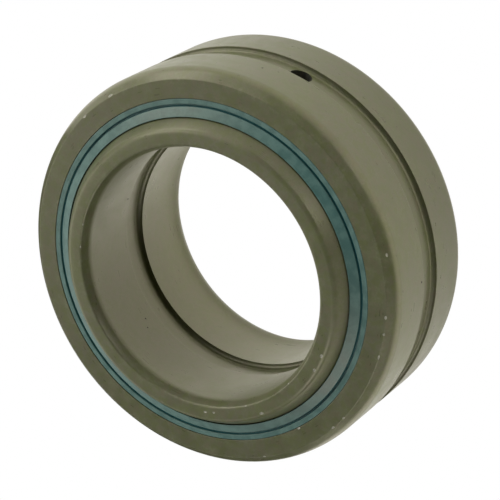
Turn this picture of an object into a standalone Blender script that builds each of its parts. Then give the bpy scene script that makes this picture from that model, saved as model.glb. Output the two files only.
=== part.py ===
"""A radial spherical plain bearing, steel on steel, with a lip seal at each side.

The bearing's axis is Z and the centre of its ball is the origin, in metres.
The outer ring's holes lie along X turned by OUTER_HOLE_ANGLE, and the inner
ring's by INNER_HOLE_ANGLE.
"""
from math import asin, cos, pi, radians, sin, sqrt, tan

import bpy

# Rings
BORE_DIAMETER = 0.030
INNER_WALL = 0.00535          # bore to ball, at the middle of the inner ring
INNER_WIDTH = 0.022
OUTER_WALL = 0.00295          # race to outside, at the middle of the outer ring
OUTER_WIDTH = 0.018
RACE_CLEARANCE = 0.0002       # radial, ball to race

# Edges of the rings
OUTER_EDGE_CHAMFER = 0.0011   # length along the axis
OUTER_EDGE_ANGLE = 45.0       # degrees, of the chamfer to the axis
OUTER_EDGE_BLEND = 0.0018     # radius between that chamfer and the outside
BALL_EDGE_ROUND = 0.0007      # radius between the ball and an end face
BORE_LEAD_IN_DEPTH = 0.00045  # radial
BORE_LEAD_IN_LENGTH = 0.00105

# Lubrication grooves and holes
OUTER_GROOVE_WIDTH = 0.0034
OUTER_GROOVE_DEPTH = 0.00065
OUTER_GROOVE_CORNER = 0.0004
INNER_GROOVE_WIDTH = 0.0035
INNER_GROOVE_DEPTH = 0.0009
INNER_GROOVE_CORNER = 0.0008
HOLE_DIAMETER = 0.0026
HOLES_PER_RING = 2
OUTER_HOLE_ANGLE = radians(-56.5)
INNER_HOLE_ANGLE = radians(8.0)

# Seals and their seats in the outer ring
SEAL_WIDTH = 0.0017           # radial, from the ball at the end face to the seat's wall
SEAT_DEPTH = 0.0023           # below the end face
SEAT_UNDERCUT = 0.0005        # radial
SEAT_LAND = 0.0009            # length of the wall above the undercut
SEAL_CLEARANCE = 0.0003       # seal to its seat
LIP_CLEARANCE = 0.00025       # lip to ball
LIP_RISE = 0.00065            # how far the outer lip stands above the end face
LIP_THICKNESS = 0.0004
LIP_SLOT_WIDTH = 0.00035      # slot between the outer lip and the seal's rim
LIP_SLOT_DEPTH = 0.0006
RIM_WIDTH = 0.00035
RIM_SET_BACK = 0.00005        # of the seal's rim below the end face

# Facets
SEGMENTS = 72                 # round the axis
BALL_STEPS = 12
RACE_STEPS = 7
EDGE_STEPS = 3
CORNER_STEPS = 2
HOLE_SEGMENTS = 16
DRILL_OVERRUN = 0.002         # of a hole's cutter beyond each side of the wall
MERGE_DISTANCE = 0.00001
SHARP_ANGLE = radians(30.0)

BORE_RADIUS = BORE_DIAMETER / 2
BALL_RADIUS = BORE_RADIUS + INNER_WALL
RACE_RADIUS = BALL_RADIUS + RACE_CLEARANCE
OUTER_RADIUS = RACE_RADIUS + OUTER_WALL
LIP_RADIUS = BALL_RADIUS + LIP_CLEARANCE
INNER_HALF = INNER_WIDTH / 2
OUTER_HALF = OUTER_WIDTH / 2


def reach(radius, height):
    """Distance from the axis to a sphere about the origin, at a height."""
    return sqrt(radius ** 2 - height ** 2)


SEAT_RADIUS = reach(LIP_RADIUS, OUTER_HALF) + SEAL_WIDTH
SEAT_FLOOR = OUTER_HALF - SEAT_DEPTH


def arc(centre, radius, start, end, steps):
    """Points of (distance from the axis, height) along an arc, ends included."""
    angles = [radians(start + (end - start) * i / steps) for i in range(steps + 1)]
    return [(centre[0] + radius * cos(a), centre[1] + radius * sin(a)) for a in angles]


def mirrored(points):
    """The same points below the middle plane, in reverse order."""
    return [(distance, -height) for distance, height in reversed(points)]


def outer_edge():
    """Chamfer and blend from the outer ring's end face to its outside."""
    tangent = OUTER_EDGE_BLEND * tan(radians(OUTER_EDGE_ANGLE / 2))
    face_edge = OUTER_RADIUS - OUTER_EDGE_CHAMFER * tan(radians(OUTER_EDGE_ANGLE))
    centre = (OUTER_RADIUS - OUTER_EDGE_BLEND, OUTER_HALF - OUTER_EDGE_CHAMFER - tangent)
    blend = arc(centre, OUTER_EDGE_BLEND, OUTER_EDGE_ANGLE, 0.0, EDGE_STEPS)
    return [(face_edge, OUTER_HALF)] + blend


def outer_groove():
    """Upper half of the groove round the outside, from its edge to the middle."""
    floor = OUTER_RADIUS - OUTER_GROOVE_DEPTH
    half = OUTER_GROOVE_WIDTH / 2
    corner = min(OUTER_GROOVE_CORNER, OUTER_GROOVE_DEPTH, half)
    centre = (floor + corner, half - corner)
    return [(OUTER_RADIUS, half)] + arc(centre, corner, 90.0, 180.0, CORNER_STEPS)


def inner_groove():
    """Upper half of the groove in the bore, from the middle to its edge."""
    floor = BORE_RADIUS + INNER_GROOVE_DEPTH
    half = INNER_GROOVE_WIDTH / 2
    corner = min(INNER_GROOVE_CORNER, INNER_GROOVE_DEPTH, half)
    centre = (floor - corner, half - corner)
    return arc(centre, corner, 0.0, 90.0, EDGE_STEPS) + [(BORE_RADIUS, half)]


def seat():
    """Upper seal seat, from its mouth to the race's edge."""
    undercut = SEAT_RADIUS + SEAT_UNDERCUT
    ledge = OUTER_HALF - SEAT_LAND
    return [
        (SEAT_RADIUS, OUTER_HALF),
        (SEAT_RADIUS, ledge),
        (undercut, ledge - SEAT_UNDERCUT),
        (undercut, SEAT_FLOOR),
    ]


def outer_ring_outline():
    """Closed section of the outer ring, down its outside and up its race."""
    outside = outer_edge() + outer_groove()
    limit = asin(SEAT_FLOOR / RACE_RADIUS) * 180 / pi
    race = arc((0.0, 0.0), RACE_RADIUS, -limit, limit, RACE_STEPS)
    upper_seat = seat()
    lower_seat = [(distance, -height) for distance, height in upper_seat]
    return outside + mirrored(outside) + lower_seat + race + list(reversed(upper_seat))


def ball_edge(face_width):
    """Round from an end face of the inner ring to the ball."""
    radius = min(BALL_EDGE_ROUND, face_width / 3)
    height = INNER_HALF - radius
    centre = (reach(BALL_RADIUS - radius, height), height)
    slope = asin(height / (BALL_RADIUS - radius)) * 180 / pi
    return arc(centre, radius, 90.0, slope, EDGE_STEPS), slope


def inner_ring_outline():
    """Closed section of the inner ring, down its ball and up its bore."""
    face_width = reach(BALL_RADIUS, INNER_HALF) - BORE_RADIUS
    edge, slope = ball_edge(face_width)
    ball = arc((0.0, 0.0), BALL_RADIUS, slope, -slope, BALL_STEPS)
    lead_in = min(BORE_LEAD_IN_DEPTH, face_width / 3)
    mouth = [
        (BORE_RADIUS, INNER_HALF - BORE_LEAD_IN_LENGTH),
        (BORE_RADIUS + lead_in, INNER_HALF),
    ]
    bore = inner_groove() + mouth
    return edge + ball[1:-1] + mirrored(edge) + mirrored(bore) + bore


def seal_outline():
    """Closed section of the upper seal: rim, heel, inner lip, outer lip and slot."""
    wall = SEAT_RADIUS - SEAL_CLEARANCE
    rim_top = OUTER_HALF - RIM_SET_BACK
    heel_top = OUTER_HALF - SEAT_LAND - SEAL_CLEARANCE
    heel_wall = wall + SEAT_UNDERCUT
    heel_floor = SEAT_FLOOR + SEAL_CLEARANCE
    edge = RIM_WIDTH / 4
    rim_inside = wall - RIM_WIDTH
    rim = [
        (rim_inside, rim_top),
        (wall - edge, rim_top),
        (wall, rim_top - edge),
        (wall, heel_top),
    ]
    heel = [
        (heel_wall, heel_top - SEAT_UNDERCUT),
        (heel_wall, heel_floor),
        (reach(LIP_RADIUS + edge, heel_floor), heel_floor),
    ]
    inner_tip = heel_floor + LIP_THICKNESS + edge
    slot_floor = rim_top - LIP_SLOT_DEPTH
    root = slot_floor - LIP_THICKNESS
    inner_lip = [
        (reach(LIP_RADIUS, inner_tip), inner_tip),
        (reach(LIP_RADIUS + LIP_THICKNESS, root), root),
    ]
    outer_tip = OUTER_HALF + LIP_RISE
    slot_inside = rim_inside - LIP_SLOT_WIDTH
    outer_lip = [
        (reach(LIP_RADIUS, outer_tip - LIP_THICKNESS), outer_tip - LIP_THICKNESS),
        (reach(LIP_RADIUS, outer_tip), outer_tip),
        (slot_inside, rim_top + edge),
    ]
    slot = [((rim_inside + slot_inside) / 2, slot_floor)]
    return rim + heel + inner_lip + outer_lip + slot


def material(name, colour, metallic, roughness):
    """A Principled BSDF material."""
    made = bpy.data.materials.new(name)
    made.use_nodes = True
    shader = made.node_tree.nodes["Principled BSDF"]
    shader.inputs["Base Color"].default_value = (*colour, 1.0)
    shader.inputs["Metallic"].default_value = metallic
    shader.inputs["Roughness"].default_value = roughness
    return made


def turned(name, outline, finish, collection):
    """A ring turned about Z from a closed section."""
    profile = bpy.data.meshes.new(name + "_section")
    corners = [(distance, 0.0, height) for distance, height in outline]
    count = len(corners)
    profile.from_pydata(corners, [(i, (i + 1) % count) for i in range(count)], [])
    ring = bpy.data.objects.new(name, profile)
    collection.objects.link(ring)
    screw = ring.modifiers.new("turn", "SCREW")
    screw.axis = "Z"
    screw.angle = 2 * pi
    screw.steps = SEGMENTS
    screw.render_steps = SEGMENTS
    screw.use_merge_vertices = True
    screw.merge_threshold = MERGE_DISTANCE
    evaluated = ring.evaluated_get(bpy.context.evaluated_depsgraph_get())
    mesh = bpy.data.meshes.new_from_object(evaluated)
    mesh.name = name
    ring.modifiers.clear()
    ring.data = mesh
    bpy.data.meshes.remove(profile)
    mesh.shade_smooth()
    mesh.set_sharp_from_angle(angle=SHARP_ANGLE)
    mesh.materials.clear()
    mesh.materials.append(finish)
    return ring


def drill(ring, inside, outside, first_angle, cutters):
    """Cut radial oil holes through a wall, evenly spaced."""
    length = outside - inside + 2 * DRILL_OVERRUN
    middle = (inside + outside) / 2
    for index in range(HOLES_PER_RING):
        angle = first_angle + 2 * pi * index / HOLES_PER_RING
        place = (middle * cos(angle), middle * sin(angle), 0.0)
        bpy.ops.mesh.primitive_cylinder_add(
            vertices=HOLE_SEGMENTS, radius=HOLE_DIAMETER / 2, depth=length,
            location=place, rotation=(0.0, pi / 2, angle))
        cutter = bpy.context.object
        cutter.name = f"{ring.name}_hole_{index + 1}"
        for owner in list(cutter.users_collection):
            owner.objects.unlink(cutter)
        cutters.objects.link(cutter)
        cutter.hide_render = True
        cutter.display_type = "WIRE"
        cut = ring.modifiers.new(f"oil_hole_{index + 1}", "BOOLEAN")
        cut.operation = "DIFFERENCE"
        cut.solver = "EXACT"
        cut.object = cutter


def make_outer_ring(steel, parts, cutters):
    ring = turned("outer_ring", outer_ring_outline(), steel, parts)
    drill(ring, RACE_RADIUS, OUTER_RADIUS, OUTER_HOLE_ANGLE, cutters)


def make_inner_ring(steel, parts, cutters):
    ring = turned("inner_ring", inner_ring_outline(), steel, parts)
    drill(ring, BORE_RADIUS, BALL_RADIUS, INNER_HOLE_ANGLE, cutters)


def make_seals(rubber, parts):
    upper = turned("upper_seal", seal_outline(), rubber, parts)
    lower = bpy.data.objects.new("lower_seal", upper.data)
    lower.rotation_euler = (pi, 0.0, 0.0)
    parts.objects.link(lower)


def main():
    for thing in list(bpy.data.objects):
        bpy.data.objects.remove(thing)
    parts = bpy.data.collections.new("spherical_plain_bearing")
    cutters = bpy.data.collections.new("cutters")
    bpy.context.scene.collection.children.link(parts)
    bpy.context.scene.collection.children.link(cutters)
    outer_steel = material("outer_ring_steel", (0.125, 0.130, 0.080), 0.6, 0.42)
    inner_steel = material("inner_ring_steel", (0.135, 0.140, 0.088), 0.6, 0.40)
    rubber = material("seal_rubber", (0.070, 0.150, 0.135), 0.0, 0.45)
    make_outer_ring(outer_steel, parts, cutters)
    make_inner_ring(inner_steel, parts, cutters)
    make_seals(rubber, parts)


main()
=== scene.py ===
"""Looks of a sealed radial spherical plain bearing, lying on its end face, in metres.

Both rings and both seals are turned again about Z with many more facets than the
solids have, rounded edges and nicks, and get procedural steel and rubber materials.
"""
from math import asin, atan2, cos, degrees, hypot, pi, radians, sin, sqrt, tan

import bpy
from mathutils import Matrix, Vector


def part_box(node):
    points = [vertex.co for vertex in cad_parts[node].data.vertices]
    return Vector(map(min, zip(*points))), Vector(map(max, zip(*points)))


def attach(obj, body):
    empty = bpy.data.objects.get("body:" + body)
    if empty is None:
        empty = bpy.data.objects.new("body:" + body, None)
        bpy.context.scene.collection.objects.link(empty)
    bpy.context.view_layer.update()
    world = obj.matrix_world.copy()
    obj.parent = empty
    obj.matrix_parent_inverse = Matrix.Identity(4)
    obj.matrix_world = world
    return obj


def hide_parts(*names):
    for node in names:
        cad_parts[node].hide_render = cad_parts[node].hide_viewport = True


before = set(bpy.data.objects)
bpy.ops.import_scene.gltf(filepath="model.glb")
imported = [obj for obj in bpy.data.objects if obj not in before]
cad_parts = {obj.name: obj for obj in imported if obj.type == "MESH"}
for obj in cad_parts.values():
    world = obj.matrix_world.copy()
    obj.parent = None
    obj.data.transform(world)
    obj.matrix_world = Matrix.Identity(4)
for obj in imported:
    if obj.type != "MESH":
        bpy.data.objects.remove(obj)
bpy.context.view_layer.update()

MM = 0.001

# Sizes read from the solids
OUTER_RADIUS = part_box("outer_ring")[1].x
OUTER_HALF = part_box("outer_ring")[1].z
INNER_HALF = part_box("inner_ring")[1].z

# Rings, as in the solids
BORE_RADIUS = 15.0 * MM
BALL_RADIUS = 20.35 * MM
RACE_RADIUS = 20.55 * MM
OUTER_EDGE_CHAMFER = 1.1 * MM
CHAMFER_SLOPE = 45.0            # degrees
OUTER_EDGE_BLEND = 1.8 * MM
BALL_EDGE_ROUND = 0.7 * MM
LEAD_IN_DEPTH = 0.45 * MM
LEAD_IN_LENGTH = 1.05 * MM
OUTER_GROOVE_HALF = 1.7 * MM
OUTER_GROOVE_DEPTH = 0.65 * MM
OUTER_GROOVE_CORNER = 0.5 * MM
INNER_GROOVE_HALF = 1.75 * MM
HOLE_RADIUS = 1.3 * MM
OUTER_HOLE_ANGLE = -56.5
INNER_HOLE_ANGLE = 8.0

# Seals and their seats, as in the solids
LIP_RADIUS = 20.6 * MM
LIP_THICKNESS = 0.4 * MM
SEAL_WIDTH = 1.7 * MM
SEAL_CLEARANCE = 0.3 * MM
SEAT_DEPTH = 2.3 * MM
SEAT_UNDERCUT = 0.5 * MM
SEAT_LAND = 0.9 * MM
RIM_WIDTH = 0.35 * MM
RIM_SET_BACK = 0.05 * MM

# Sizes that differ from the solids': a softer groove in the bore, a bent lead-in,
# a finer slot in the seal
INNER_GROOVE_DEPTH = 0.65 * MM
INNER_GROOVE_CORNER = 0.6 * MM
LEAD_IN_BEND = 12.0             # degrees that its section turns
SLOT_WIDTH = 0.28 * MM
SLOT_DEPTH = 0.42 * MM

# Fit of the real seal, closer than the solids' gaps
RIM_GAP = 0.03 * MM             # rim to its seat
TIP_RADIUS = 20.37 * MM         # sphere that the outer lip's tip rides on
TIP_HEIGHT = 0.5 * MM           # of that tip above the outer ring's end face
LIP_SHOULDER = 0.25 * MM        # from the slot to where the lip's back turns down
LIP_SHOULDER_RISE = 0.12 * MM

# Radii of the rounded edges and inside corners
FACE_FILLET = 0.12 * MM         # outer ring's face to its chamfer
OUTER_GROOVE_FILLET = 0.14 * MM
INNER_GROOVE_FILLET = 0.45 * MM
MOUTH_FILLET = 0.25 * MM        # lead-in to the inner ring's face
SHARP_FILLET = 0.05 * MM        # seats and hidden edges of the seals
CORNER_FILLET = 0.1 * MM
RIM_FILLET = 0.07 * MM
SLOT_FILLET = 0.06 * MM
LIP_BACK_FILLET = 0.5 * MM
WORN_FILLET = 0.3 * MM          # edges rounded less than this are worn

# Facets
SEGMENTS = 360
FILLET_STEPS = 4                # in a quarter turn
FILLET_ROOM = 0.45              # share of a side that one fillet may take
LEAST_TURN = radians(3.0)       # corners that turn less stay as they are
SUPPORT = 0.04 * MM             # to the extra edge that keeps a flat beside a fillet flat
LONGEST_STRETCH = 0.8 * MM
CHAMFER_BLEND_STEPS = 12
GROOVE_CORNER_STEPS = 8
RACE_STEPS = 24
BALL_STEPS = 48
BALL_EDGE_STEPS = 6
LEAD_IN_STEPS = 5
HOLE_FACETS = 48
HOLE_SPARE = 2.0 * MM           # that its cutter stands out at each end
SHARP_ANGLE = radians(30.0)

# Chips that show bare steel, and dark pits: distance from the axis, height, angle
# about it, tilt of the surface there from level, length round the axis, bite
OUTER_CHIPS = [
    (22.40, 9.00, -171.8, 67.5, 0.34, 0.10),
    (22.40, 9.00, -166.8, 67.5, 0.26, 0.09),
    (22.40, 9.00, 161.4, 67.5, 0.30, 0.08),
    (22.40, 9.00, -130.6, 67.5, 0.32, 0.10),
    (22.40, 9.00, -135.7, 67.5, 0.28, 0.09),
    (22.40, 9.00, -143.0, 67.5, 0.42, 0.08),
    (22.95, 8.50, -112.8, 40.0, 0.40, 0.08),
    (22.60, 8.85, -5.4, 60.0, 0.50, 0.10),
    (22.40, 9.00, 6.1, 67.5, 0.40, 0.09),
    (20.30, 9.00, 177.6, 80.0, 0.30, 0.07),
]
INNER_CHIPS = [
    (16.75, 11.00, -149.4, 60.0, 0.32, 0.08),
    (16.75, 11.00, -156.4, 60.0, 0.28, 0.08),
    (16.75, 11.00, 171.1, 60.0, 0.34, 0.08),
    (15.45, 11.00, -169.7, 110.0, 0.30, 0.07),
    (15.45, 11.00, 165.3, 110.0, 0.34, 0.07),
    (15.45, 11.00, 37.7, 110.0, 0.30, 0.07),
    (15.45, 11.00, 48.3, 110.0, 0.30, 0.07),
    (16.17, 11.00, 145.0, 90.0, 0.26, 0.05),
    (16.10, 11.00, 149.0, 90.0, 0.24, 0.05),
]
OUTER_PITS = [
    (23.50, 3.60, -48.7, 0.0, 0.16, 0.06),
    (23.50, 2.30, -125.6, 0.0, 0.18, 0.06),
]
INNER_PITS = [
    (15.00, 3.73, 92.4, 180.0, 0.14, 0.05),
    (15.00, 4.43, 96.3, 180.0, 0.12, 0.05),
    (15.00, 2.30, 35.3, 180.0, 0.12, 0.05),
]
BITE_SPREAD = 3.0               # a cutter's radius, in bites

# Camera, on the -Y side, looking down and rolled
CAMERA_LENS = 156.7
CAMERA_SENSOR = 36.0
CAMERA_CLIP = (0.01, 10.0)
CAMERA_TILT = radians(35.3)
CAMERA_ROLL = radians(-122.82)
CAMERA_PLACE = Vector((-0.508, -145.64, 205.05)) * MM

# Steel, in linear light
STEEL_DARK = (0.087, 0.093, 0.048)
STEEL_PALE = (0.114, 0.124, 0.066)
STEEL_GREY = (0.104, 0.099, 0.075)
STEEL_GREEN = (0.092, 0.103, 0.037)
STEEL_BROWN = (0.112, 0.096, 0.056)
STEEL_TONES = (STEEL_DARK, STEEL_PALE, STEEL_GREY, STEEL_GREEN, STEEL_BROWN)
INNER_SHADE = 1.10              # the inner ring's coat is a little lighter
STEEL_SPECULAR = 0.525
STEEL_GLOSS_TONE = (1.0, 0.92, 0.68, 1.0)
STEEL_ROUGHNESS = 0.32
STEEL_BARE = (0.24, 0.235, 0.17)
CHIP_TONE = (0.33, 0.32, 0.25)
CHIP_ROUGHNESS = (0.35, 0.5)
# Dark pits; the oil holes' walls get the same near-black colours, a painted shade inside the holes
PIT_AND_HOLE_SHADE_DARK = (0.020, 0.020, 0.012)
PIT_AND_HOLE_SHADE_BROWN = (0.045, 0.040, 0.022)
PIT_ROUGHNESS = (0.6, 0.75)
WEAR = 0.15                     # share of bare steel on a worn edge

# Rubber, in linear light
RUBBER_DARK = (0.060, 0.136, 0.122)
RUBBER_PALE = (0.092, 0.185, 0.163)
# Painted shade in the seal's slot: there the base colour turns to this darker teal
RUBBER_SLOT_PAINTED_SHADE = (0.040, 0.165, 0.175)
RUBBER_SPECULAR = 0.53
RUBBER_GLOSS_TONE = (1.0, 0.78, 0.62, 1.0)
RUBBER_ROUGHNESS = 0.40
RUBBER_SPREAD = 0.05            # of its roughness, up and down
SLOT_PAINTED_SHADE_START = 0.03 * MM         # depth in the slot where its painted shade begins
SLOT_PAINTED_SHADE_FULL = 0.25 * MM          # and where it is full
SLOT_PAINTED_SHADE_REACH = 0.6               # of it to each side of the slot's middle, in slot widths

# Noises: scale per millimetre and detail
STEEL_MOTTLE = (0.55, 4.0)
STEEL_CLOUD = (0.16, 2.0)
STEEL_GRAIN = (4.5, 3.0)
STEEL_SPOTS = (1.3, 3.0)
STEEL_WORN = (1.6, 3.0)
CHIP_GRAIN = (3.0, 2.0)
PIT_GRAIN = (2.0, 3.0)
RUBBER_MOTTLE = (0.8, 3.0)
RUBBER_GRAIN = (5.0, 2.0)
LINES_DETAIL = 2.0
NOISE_ROUGHNESS = 0.55

# Lines left by turning: how close they lie, and how often they break off
STEEL_LINES = (5.0, 2.5)
RUBBER_LINES = (8.0, 1.5)

# Ramps over a noise: its first and last level, and what it gives at each
PALE_RAMP = (0.32, 0.68, 0.0, 1.0)
GREY_RAMP = (0.40, 0.62, 0.0, 0.5)
GREEN_RAMP = (0.46, 0.62, 0.0, 0.7)
BROWN_RAMP = (0.52, 0.36, 0.0, 0.6)
GRAIN_RAMP = (0.35, 0.65, 0.0, 0.5)
WORN_RAMP = (0.52, 0.68, 0.0, 1.0)
MOTTLE_SPREAD = (0.3, 0.7, -0.04, 0.04)
LINES_SPREAD = (0.3, 0.7, -0.015, 0.015)
SPECKLE_RAMP = (0.4, 0.6, 0.0, 1.0)
RUBBER_PALE_RAMP = (0.35, 0.65, 0.0, 1.0)
RUBBER_GRAIN_RAMP = (0.4, 0.7, 0.0, 0.25)
RUBBER_SPREAD_LEVELS = (0.3, 0.7)

# Fine relief: its strength and depth, and the lines' part in the steel's
STEEL_BUMP = (0.18, 0.02 * MM)
RUBBER_BUMP = (0.2, 0.015 * MM)
LINES_PART = 0.15

# Light: soft round lights about the part, as azimuth, elevation and power
LIGHTS = [
    (0.0, 6.0, 3.0),
    (60.0, 6.0, 0.33),
    (90.0, 6.0, 0.97),
    (270.0, 6.0, 1.82),
    (300.0, 6.0, 0.71),
    (330.0, 6.0, 0.63),
    (20.0, 24.0, 1.39),
    (60.0, 24.0, 0.43),
    (80.0, 24.0, 0.52),
    (120.0, 24.0, 0.57),
    (180.0, 24.0, 0.50),
    (200.0, 24.0, 0.47),
    (340.0, 24.0, 0.57),
    (0.0, 42.0, 0.50),
    (22.5, 42.0, 2.16),
    (67.5, 42.0, 1.24),
    (157.5, 42.0, 2.43),
    (180.0, 42.0, 0.35),
    (337.5, 42.0, 0.81),
    (45.0, 62.0, 0.55),
    (135.0, 62.0, 0.55),
]
LIGHT_DISTANCE = 1.0
LIGHT_ACROSS = 0.48
WORLD_GLOW = 0.0
WHITE = (1.0, 1.0, 1.0, 1.0)
WARM = (1.0, 0.97, 0.87, 1.0)

# Stage
FLOOR_GLOW = 0.85
FLOOR_TONE = 0.3
FLOOR_ACROSS = 4.0
FLOOR_DROP = 0.02 * MM          # below the part's lower face
BACKDROP_GLOW = 1.0
BACKDROP_RADIUS = 2.5
BACKDROP_FACETS = (64, 32)
REFLECTOR_RISE = 0.1 * MM       # above the part's lower face
REFLECTOR_STEPS = 24

# Reflectors on the floor: inner and outer distance in mm, first and last azimuth, glow
REFLECTORS = {
    "reflector_bore": (0.0, 13.5, 0.0, 360.0, 1.75),
    "reflector_high": (45.0, 400.0, -80.0, 40.0, 1.6),
    "reflector_left": (45.0, 400.0, 40.0, 150.0, 0.04),
    "reflector_low": (45.0, 400.0, 150.0, 280.0, 2.15),
}


def reach(radius, height):
    """Distance from the axis to a sphere about the origin, at a height."""
    return sqrt(radius ** 2 - height ** 2)


SEAT_RADIUS = reach(LIP_RADIUS, OUTER_HALF) + SEAL_WIDTH
SEAT_FLOOR = OUTER_HALF - SEAT_DEPTH
RIM_TOP = OUTER_HALF - RIM_SET_BACK
RIM_INSIDE = SEAT_RADIUS - SEAL_CLEARANCE - RIM_WIDTH
SLOT_MIDDLE = RIM_INSIDE - SLOT_WIDTH / 2


def arc(centre, radius, start, end, steps):
    """Corners without fillet along an arc, in degrees, ends included."""
    angles = [radians(start + (end - start) * i / steps) for i in range(steps + 1)]
    return [(centre[0] + radius * cos(a), centre[1] + radius * sin(a), 0.0) for a in angles]


def flipped(corners):
    """The same corners below the middle plane, in reverse order."""
    return [(distance, -height, fillet) for distance, height, fillet in reversed(corners)]


def fillet_at(before, corner, after):
    """Points that round one corner, with a support point at each side."""
    here = Vector(corner[:2])
    towards = Vector(before[:2]) - here
    away = Vector(after[:2]) - here
    turn = pi - towards.angle(away)
    if corner[2] <= 0.0 or turn < LEAST_TURN:
        return [here]
    radius = corner[2]
    cut_back = radius * tan(turn / 2)
    room = min(towards.length, away.length) * FILLET_ROOM
    if cut_back > room:
        radius *= room / cut_back
        cut_back = room
    towards.normalize()
    away.normalize()
    centre = here + (towards + away).normalized() * (radius / cos(turn / 2))
    first = here + towards * cut_back - centre
    last = here + away * cut_back - centre
    start = atan2(first.y, first.x)
    sweep = (atan2(last.y, last.x) - start + pi) % (2 * pi) - pi
    steps = max(2, round(FILLET_STEPS * turn / (pi / 2)))
    points = [here + towards * (cut_back + SUPPORT)]
    for i in range(steps + 1):
        angle = start + sweep * i / steps
        points.append(centre + radius * Vector((cos(angle), sin(angle))))
    points.append(here + away * (cut_back + SUPPORT))
    return points


def rounded(corners):
    """A closed section with its corners rounded, and how worn each point is."""
    section = []
    count = len(corners)
    for i, corner in enumerate(corners):
        points = fillet_at(corners[i - 1], corner, corners[(i + 1) % count])
        worn = 1.0 if 0.0 < corner[2] < WORN_FILLET and len(points) > 1 else 0.0
        section += [(point.x, point.y, worn) for point in points]
    return section


def divided(section):
    """The section with its long straight stretches cut into shorter ones."""
    result = []
    for i, (x, y, worn) in enumerate(section):
        result.append((x, y, worn))
        next_x, next_y = section[(i + 1) % len(section)][:2]
        pieces = int(hypot(next_x - x, next_y - y) / LONGEST_STRETCH)
        for k in range(1, pieces + 1):
            share = k / (pieces + 1)
            result.append((x + (next_x - x) * share, y + (next_y - y) * share, 0.0))
    return result


def outer_ring_section():
    blend = OUTER_EDGE_BLEND
    low = OUTER_HALF - OUTER_EDGE_CHAMFER - blend * tan(radians(CHAMFER_SLOPE / 2))
    edge = [(OUTER_RADIUS - OUTER_EDGE_CHAMFER, OUTER_HALF, FACE_FILLET)]
    edge += arc((OUTER_RADIUS - blend, low), blend, CHAMFER_SLOPE, 0.0, CHAMFER_BLEND_STEPS)
    floor = OUTER_RADIUS - OUTER_GROOVE_DEPTH
    half = OUTER_GROOVE_HALF
    corner = OUTER_GROOVE_CORNER
    groove = [(OUTER_RADIUS, half, OUTER_GROOVE_FILLET)]
    groove += arc((floor + corner, half - corner), corner, 90.0, 180.0, GROOVE_CORNER_STEPS)
    outside = edge + groove
    undercut = SEAT_RADIUS + SEAT_UNDERCUT
    ledge = OUTER_HALF - SEAT_LAND
    seat = [
        (SEAT_RADIUS, OUTER_HALF, SHARP_FILLET),
        (SEAT_RADIUS, ledge, SHARP_FILLET),
        (undercut, ledge - SEAT_UNDERCUT, SHARP_FILLET),
        (undercut, SEAT_FLOOR, CORNER_FILLET),
    ]
    limit = degrees(asin(SEAT_FLOOR / RACE_RADIUS))
    race = arc((0.0, 0.0), RACE_RADIUS, -limit, limit, RACE_STEPS)
    return outside + flipped(outside) + flipped(seat)[::-1] + race + seat[::-1]


def lead_in():
    """Corners of the bore's upper lead-in, which is bent and ends in a rounded mouth."""
    slope = degrees(atan2(LEAD_IN_DEPTH, LEAD_IN_LENGTH))
    turn = LEAD_IN_BEND / 2
    radius = hypot(LEAD_IN_DEPTH, LEAD_IN_LENGTH) / 2 / sin(radians(turn))
    away = radius * cos(radians(turn))
    centre = (BORE_RADIUS + LEAD_IN_DEPTH / 2 + away * cos(radians(slope)),
              INNER_HALF - LEAD_IN_LENGTH / 2 - away * sin(radians(slope)))
    facing = 180.0 - slope
    bend = arc(centre, radius, facing + turn, facing - turn, LEAD_IN_STEPS)
    mouth = (BORE_RADIUS + LEAD_IN_DEPTH, INNER_HALF, MOUTH_FILLET)
    return bend[:-2] + [mouth]


def inner_ring_section():
    small = BALL_EDGE_ROUND
    height = INNER_HALF - small
    limit = degrees(asin(height / (BALL_RADIUS - small)))
    edge = arc((reach(BALL_RADIUS - small, height), height), small, 90.0, limit, BALL_EDGE_STEPS)
    ball = arc((0.0, 0.0), BALL_RADIUS, limit, -limit, BALL_STEPS)
    floor = BORE_RADIUS + INNER_GROOVE_DEPTH
    half = INNER_GROOVE_HALF
    corner = INNER_GROOVE_CORNER
    groove = arc((floor - corner, half - corner), corner, 0.0, 90.0, GROOVE_CORNER_STEPS)
    groove.append((BORE_RADIUS, half, INNER_GROOVE_FILLET))
    bore = groove + lead_in()
    return edge + ball[1:-1] + flipped(edge) + flipped(bore) + bore


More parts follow.
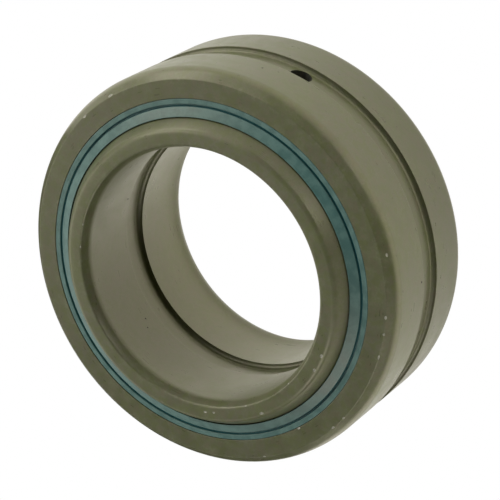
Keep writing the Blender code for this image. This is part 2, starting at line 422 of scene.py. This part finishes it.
def seal_section():
    wall = SEAT_RADIUS - RIM_GAP
    heel_top = OUTER_HALF - SEAT_LAND - RIM_GAP
    heel_wall = wall + SEAT_UNDERCUT
    heel_floor = SEAT_FLOOR + SEAL_CLEARANCE
    edge = RIM_WIDTH / 4
    inner_tip = heel_floor + LIP_THICKNESS + edge
    slot_floor = RIM_TOP - SLOT_DEPTH
    root = slot_floor - LIP_THICKNESS
    outer_tip = OUTER_HALF + TIP_HEIGHT
    slot_inside = RIM_INSIDE - SLOT_WIDTH
    under_tip = outer_tip - LIP_THICKNESS
    return [
        (RIM_INSIDE, RIM_TOP, SLOT_FILLET),
        (wall, RIM_TOP, RIM_FILLET),
        (wall, heel_top, SHARP_FILLET),
        (heel_wall, heel_top - SEAT_UNDERCUT, SHARP_FILLET),
        (heel_wall, heel_floor, CORNER_FILLET),
        (reach(LIP_RADIUS + edge, heel_floor), heel_floor, SHARP_FILLET),
        (reach(LIP_RADIUS, inner_tip), inner_tip, SHARP_FILLET),
        (reach(LIP_RADIUS + LIP_THICKNESS, root), root, CORNER_FILLET),
        (reach(LIP_RADIUS, under_tip), under_tip, SHARP_FILLET),
        (reach(TIP_RADIUS, outer_tip), outer_tip, SLOT_FILLET),
        (slot_inside - LIP_SHOULDER, RIM_TOP + LIP_SHOULDER_RISE, LIP_BACK_FILLET),
        (slot_inside, RIM_TOP, SLOT_FILLET),
        (slot_inside, slot_floor, CORNER_FILLET),
        (RIM_INSIDE, slot_floor, CORNER_FILLET),
    ]


def added(name, data):
    """A new object in the scene."""
    piece = bpy.data.objects.new(name, data)
    bpy.context.scene.collection.objects.link(piece)
    return piece


def turned(name, corners, material):
    """A ring turned about Z from a closed section, with its wear as an attribute."""
    section = divided(rounded(corners))
    count = len(section)
    points = []
    wear = []
    for step in range(SEGMENTS):
        angle = 2 * pi * step / SEGMENTS
        for distance, height, worn in section:
            points.append((distance * cos(angle), distance * sin(angle), height))
            wear.append(worn)
    faces = []
    for step in range(SEGMENTS):
        here = step * count
        there = (step + 1) % SEGMENTS * count
        for i in range(count):
            j = (i + 1) % count
            faces.append((here + i, here + j, there + j, there + i))
    mesh = bpy.data.meshes.new(name)
    mesh.from_pydata(points, [], faces)
    mesh.attributes.new("wear", "FLOAT", "POINT").data.foreach_set("value", wear)
    mesh.shade_smooth()
    mesh.materials.append(material)
    return added(name, mesh)


def bite(mark):
    """A cutter that takes one shallow chip or pit out of a surface."""
    distance, height, angle, tilt, length, depth = mark
    around = Matrix.Rotation(radians(angle), 4, "Z")
    across = depth * BITE_SPREAD
    out = Vector((cos(radians(tilt)), 0.0, sin(radians(tilt)))) * (across - depth) * MM
    place = Vector((distance, 0.0, height)) * MM + out
    bpy.ops.mesh.primitive_ico_sphere_add(subdivisions=3, radius=1.0)
    cutter = bpy.context.object
    size = Matrix.Diagonal((across * MM, length * MM, across * MM, 1.0))
    cutter.matrix_world = around @ Matrix.Translation(place) @ size
    return cutter


def oil_holes(inside, outside, first_angle):
    """Cutters for a ring's two oil holes, which run along the radius."""
    cutters = []
    middle = (inside + outside) / 2
    for turn in (0.0, 180.0):
        angle = radians(first_angle + turn)
        bpy.ops.mesh.primitive_cylinder_add(
            vertices=HOLE_FACETS, radius=HOLE_RADIUS, depth=outside - inside + 2 * HOLE_SPARE,
            location=(middle * cos(angle), middle * sin(angle), 0.0), rotation=(0.0, pi / 2, angle))
        cutters.append(bpy.context.object)
    return cutters


def cut(piece, cutters, material):
    """Take the cutters out of a piece, remove them, and give the cuts a material."""
    for cutter in cutters:
        cutter.data.materials.append(material)
        step = piece.modifiers.new(cutter.name, "BOOLEAN")
        step.operation = "DIFFERENCE"
        step.solver = "EXACT"
        step.material_mode = "TRANSFER"
        step.object = cutter
    evaluated = piece.evaluated_get(bpy.context.evaluated_depsgraph_get())
    mesh = bpy.data.meshes.new_from_object(evaluated)
    piece.modifiers.clear()
    piece.data = mesh
    for cutter in cutters:
        bpy.data.objects.remove(cutter)


def dressed(piece, body, node):
    """Give a finished piece its sharp edges and its body, and hide the solid that it stands for."""
    piece.data.set_sharp_from_angle(angle=SHARP_ANGLE)
    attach(piece, body)
    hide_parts(node)


def opaque(colour):
    """A colour with its alpha. A socket stays as it is."""
    return colour if isinstance(colour, bpy.types.NodeSocket) else (*colour, 1.0)


class Graph:
    """Shader nodes of one material."""

    def __init__(self, name):
        self.material = bpy.data.materials.new(name)
        self.material.use_nodes = True
        self.nodes = self.material.node_tree.nodes
        self.links = self.material.node_tree.links
        self.shader = self.nodes["Principled BSDF"]

    def put(self, socket, value):
        if isinstance(value, bpy.types.NodeSocket):
            self.links.new(value, socket)
        else:
            socket.default_value = value

    def feed(self, name, value):
        """Give one of the shader's own sockets a value or link."""
        self.put(self.shader.inputs[name], value)

    def place(self):
        """Place on the piece, in millimetres."""
        coordinates = self.nodes.new("ShaderNodeTexCoord")
        scaled = self.nodes.new("ShaderNodeVectorMath")
        scaled.operation = "SCALE"
        self.put(scaled.inputs[0], coordinates.outputs["Object"])
        self.put(scaled.inputs["Scale"], 1.0 / MM)
        return scaled.outputs[0]

    def math(self, operation, first, second=0.0):
        node = self.nodes.new("ShaderNodeMath")
        node.operation = operation
        self.put(node.inputs[0], first)
        self.put(node.inputs[1], second)
        return node.outputs[0]

    def noise(self, place, scale, detail, fourth=None):
        node = self.nodes.new("ShaderNodeTexNoise")
        if fourth is not None:
            node.noise_dimensions = "4D"
            self.put(node.inputs["W"], fourth)
        self.put(node.inputs["Vector"], place)
        node.inputs["Scale"].default_value = scale
        node.inputs["Detail"].default_value = detail
        node.inputs["Roughness"].default_value = NOISE_ROUGHNESS
        return node.outputs[0]

    def round_axis(self, place):
        """A place's coordinates and its distance from the axis."""
        parts = self.nodes.new("ShaderNodeSeparateXYZ")
        self.put(parts.inputs[0], place)
        x, y, z = parts.outputs
        squares = self.math("ADD", self.math("MULTIPLY", x, x), self.math("MULTIPLY", y, y))
        return x, y, z, self.math("SQRT", squares)

    def turning(self, place, pitch, run):
        """Noise drawn out round the axis, as lines left by turning."""
        x, y, z, distance = self.round_axis(place)
        joined = self.nodes.new("ShaderNodeCombineXYZ")
        self.put(joined.inputs[0], self.math("MULTIPLY", self.math("DIVIDE", x, distance), run))
        self.put(joined.inputs[1], self.math("MULTIPLY", self.math("DIVIDE", y, distance), run))
        self.put(joined.inputs[2], self.math("MULTIPLY", z, pitch))
        fourth = self.math("MULTIPLY", distance, pitch)
        return self.noise(joined.outputs[0], 1.0, LINES_DETAIL, fourth)

    def ramp(self, value, low, high, bottom, top):
        """A smooth step from bottom, where the value is low, to top, where it is high."""
        node = self.nodes.new("ShaderNodeMapRange")
        node.interpolation_type = "SMOOTHSTEP"
        self.put(node.inputs["Value"], value)
        node.inputs["From Min"].default_value = low
        node.inputs["From Max"].default_value = high
        node.inputs["To Min"].default_value = bottom
        node.inputs["To Max"].default_value = top
        return node.outputs[0]

    def mix(self, share, first, second):
        node = self.nodes.new("ShaderNodeMix")
        node.data_type = "RGBA"
        self.put(node.inputs["Factor"], share)
        self.put(node.inputs["A"], opaque(first))
        self.put(node.inputs["B"], opaque(second))
        return node.outputs["Result"]

    def gloss(self, level, tone):
        self.feed("Specular IOR Level", level)
        self.feed("Specular Tint", tone)

    def bump(self, height, strength, depth):
        node = self.nodes.new("ShaderNodeBump")
        node.inputs["Strength"].default_value = strength
        node.inputs["Distance"].default_value = depth
        self.put(node.inputs["Height"], height)
        self.feed("Normal", node.outputs[0])


def phosphated_steel(name, shade):
    """Dark olive coat, mottled, with the lathe's fine lines and worn edges."""
    graph = Graph(name)
    dark, pale, grey, green, brown = (tuple(part * shade for part in tone) for tone in STEEL_TONES)
    graph.gloss(STEEL_SPECULAR, STEEL_GLOSS_TONE)
    place = graph.place()
    mottle = graph.noise(place, *STEEL_MOTTLE)
    cloud = graph.noise(place, *STEEL_CLOUD)
    grain = graph.noise(place, *STEEL_GRAIN)
    spots = graph.noise(place, *STEEL_SPOTS)
    lines = graph.turning(place, *STEEL_LINES)
    tone = graph.mix(graph.ramp(mottle, *PALE_RAMP), dark, pale)
    tone = graph.mix(graph.ramp(cloud, *GREY_RAMP), tone, grey)
    tone = graph.mix(graph.ramp(spots, *GREEN_RAMP), tone, green)
    tone = graph.mix(graph.ramp(spots, *BROWN_RAMP), tone, brown)
    tone = graph.mix(graph.ramp(grain, *GRAIN_RAMP), tone, dark)
    edges = graph.nodes.new("ShaderNodeAttribute")
    edges.attribute_name = "wear"
    patches = graph.ramp(graph.noise(place, *STEEL_WORN), *WORN_RAMP)
    worn = graph.math("MULTIPLY", graph.math("MULTIPLY", edges.outputs["Fac"], patches), WEAR)
    graph.feed("Base Color", graph.mix(worn, tone, STEEL_BARE))
    spread = graph.math("ADD", graph.ramp(mottle, *MOTTLE_SPREAD), graph.ramp(lines, *LINES_SPREAD))
    graph.feed("Roughness", graph.math("ADD", spread, STEEL_ROUGHNESS))
    height = graph.math("ADD", grain, graph.math("MULTIPLY", lines, LINES_PART))
    graph.bump(height, *STEEL_BUMP)
    return graph.material


def speckled(name, grain, tones, roughness):
    """Two tones and two roughnesses that follow one noise."""
    graph = Graph(name)
    share = graph.ramp(graph.noise(graph.place(), *grain), *SPECKLE_RAMP)
    graph.feed("Base Color", graph.mix(share, *tones))
    graph.feed("Roughness", graph.ramp(share, 0.0, 1.0, *roughness))
    return graph.material


def teal_rubber():
    """Moulded seal, slightly glossy, with painted shade deep in its slot, and faint lines of the
    mould.
    """
    graph = Graph("teal_rubber")
    graph.gloss(RUBBER_SPECULAR, RUBBER_GLOSS_TONE)
    place = graph.place()
    z, distance = graph.round_axis(place)[2:]
    height = graph.math("ABSOLUTE", z)
    # Painted shade: deep in the slot, between the two distances below, the base colour turns darker
    # teal
    slot_shade_depth = graph.ramp(height, (RIM_TOP - SLOT_PAINTED_SHADE_FULL) / MM, (RIM_TOP - SLOT_PAINTED_SHADE_START) / MM, 1.0, 0.0)
    half = SLOT_WIDTH * SLOT_PAINTED_SHADE_REACH
    inside = graph.math("LESS_THAN", distance, (SLOT_MIDDLE + half) / MM)
    outside = graph.math("GREATER_THAN", distance, (SLOT_MIDDLE - half) / MM)
    shade = graph.math("MULTIPLY", slot_shade_depth, graph.math("MULTIPLY", inside, outside))
    mottle = graph.noise(place, *RUBBER_MOTTLE)
    grain = graph.noise(place, *RUBBER_GRAIN)
    lines = graph.turning(place, *RUBBER_LINES)
    tone = graph.mix(graph.ramp(mottle, *RUBBER_PALE_RAMP), RUBBER_DARK, RUBBER_PALE)
    tone = graph.mix(graph.ramp(grain, *RUBBER_GRAIN_RAMP), tone, RUBBER_DARK)
    graph.feed("Base Color", graph.mix(shade, tone, RUBBER_SLOT_PAINTED_SHADE))
    least = RUBBER_ROUGHNESS - RUBBER_SPREAD
    most = RUBBER_ROUGHNESS + RUBBER_SPREAD
    graph.feed("Roughness", graph.ramp(mottle, *RUBBER_SPREAD_LEVELS, least, most))
    graph.bump(graph.math("ADD", grain, lines), *RUBBER_BUMP)
    return graph.material


def glowing(name, tone, glow, colour):
    """A matt surface that glows."""
    graph = Graph(name)
    graph.feed("Base Color", (tone, tone, tone, 1.0))
    graph.feed("Roughness", 1.0)
    graph.feed("Specular IOR Level", 0.0)
    graph.feed("Emission Color", colour)
    graph.feed("Emission Strength", glow)
    return graph.material


def make_rings():
    chipped = speckled("chipped_steel", CHIP_GRAIN, (STEEL_BARE, CHIP_TONE), CHIP_ROUGHNESS)
    pits_and_hole_shade = speckled("pitted_steel_and_hole_shade", PIT_GRAIN, (PIT_AND_HOLE_SHADE_DARK, PIT_AND_HOLE_SHADE_BROWN), PIT_ROUGHNESS)
    rings = (
        ("outer", outer_ring_section(), phosphated_steel("phosphated_steel", 1.0),
         OUTER_CHIPS, OUTER_PITS, (RACE_RADIUS, OUTER_RADIUS, OUTER_HOLE_ANGLE)),
        ("inner", inner_ring_section(), phosphated_steel("phosphated_steel_inner", INNER_SHADE),
         INNER_CHIPS, INNER_PITS, (BORE_RADIUS, BALL_RADIUS, INNER_HOLE_ANGLE)),
    )
    for body, section, coat, chips, pits, holes in rings:
        node = body + "_ring"
        ring = turned(node + "_turned", section, coat)
        cut(ring, [bite(mark) for mark in chips], chipped)
        # The oil holes' walls take the pits' near-black material: painted shade inside the holes
        cut(ring, [bite(mark) for mark in pits] + oil_holes(*holes), pits_and_hole_shade)
        dressed(ring, body, node)


def make_seals():
    upper = turned("upper_seal_moulded", seal_section(), teal_rubber())
    lower = added("lower_seal_moulded", upper.data.copy())
    lower.data.transform(Matrix.Rotation(pi, 4, "X"))
    dressed(upper, "outer", "upper_seal")
    dressed(lower, "outer", "lower_seal")


def make_camera():
    data = bpy.data.cameras.new("camera")
    data.sensor_width = CAMERA_SENSOR
    data.lens = CAMERA_LENS
    data.clip_start, data.clip_end = CAMERA_CLIP
    camera = added("camera", data)
    turn = Matrix.Rotation(CAMERA_TILT, 4, "X") @ Matrix.Rotation(CAMERA_ROLL, 4, "Z")
    camera.matrix_world = Matrix.Translation(CAMERA_PLACE) @ turn
    bpy.context.scene.camera = camera


def staged(piece, name, material, camera):
    """Part of the stage that either only the camera sees or only the light."""
    piece.name = name
    piece.data.materials.append(material)
    piece.visible_camera = camera
    for ray in ("diffuse", "glossy", "transmission", "shadow", "volume_scatter"):
        setattr(piece, "visible_" + ray, not camera)


def reflector(name, inside, outside, start, end, glow):
    """A flat sector just above the floor, which lights the part from below."""
    height = REFLECTOR_RISE - INNER_HALF
    points = []
    faces = []
    for step in range(REFLECTOR_STEPS + 1):
        angle = radians(start + (end - start) * step / REFLECTOR_STEPS)
        for distance in (inside * MM, outside * MM):
            points.append((distance * cos(angle), distance * sin(angle), height))
        if step:
            faces.append((2 * step - 2, 2 * step - 1, 2 * step + 1, 2 * step))
    mesh = bpy.data.meshes.new(name)
    mesh.from_pydata(points, [], faces)
    staged(added(name, mesh), name, glowing(name, 0.0, glow, WARM), False)


def make_stage():
    """White floor and backdrop for the camera, and the floor that lights the part."""
    white = glowing("backdrop_white", 0.0, BACKDROP_GLOW, WHITE)
    around, up = BACKDROP_FACETS
    bpy.ops.mesh.primitive_uv_sphere_add(segments=around, ring_count=up, radius=BACKDROP_RADIUS)
    staged(bpy.context.object, "backdrop", white, True)
    place = (0.0, 0.0, -INNER_HALF - FLOOR_DROP)
    bpy.ops.mesh.primitive_plane_add(size=FLOOR_ACROSS, location=place)
    staged(bpy.context.object, "ground", white, True)
    bpy.ops.mesh.primitive_plane_add(size=FLOOR_ACROSS, location=place)
    staged(bpy.context.object, "floor", glowing("floor_white", FLOOR_TONE, FLOOR_GLOW, WARM), False)
    for name, sizes in REFLECTORS.items():
        reflector(name, *sizes)


def make_lights():
    world = bpy.data.worlds.new("world")
    world.use_nodes = True
    background = world.node_tree.nodes["Background"]
    background.inputs["Color"].default_value = WHITE
    background.inputs["Strength"].default_value = WORLD_GLOW
    bpy.context.scene.world = world
    for azimuth, elevation, power in LIGHTS:
        data = bpy.data.lights.new("soft_light", "AREA")
        data.shape = "DISK"
        data.size = LIGHT_ACROSS
        data.energy = power
        light = added("soft_light", data)
        turn = Matrix.Rotation(radians(azimuth), 4, "Z") @ Matrix.Rotation(radians(-elevation), 4, "Y")
        light.location = turn @ Vector((LIGHT_DISTANCE, 0.0, 0.0))
        light.rotation_euler = light.location.to_track_quat("Z", "Y").to_euler()
        light.visible_camera = False


def main():
    make_rings()
    make_seals()
    make_camera()
    make_stage()
    make_lights()
    bpy.context.scene.view_settings.view_transform = "Standard"


main()
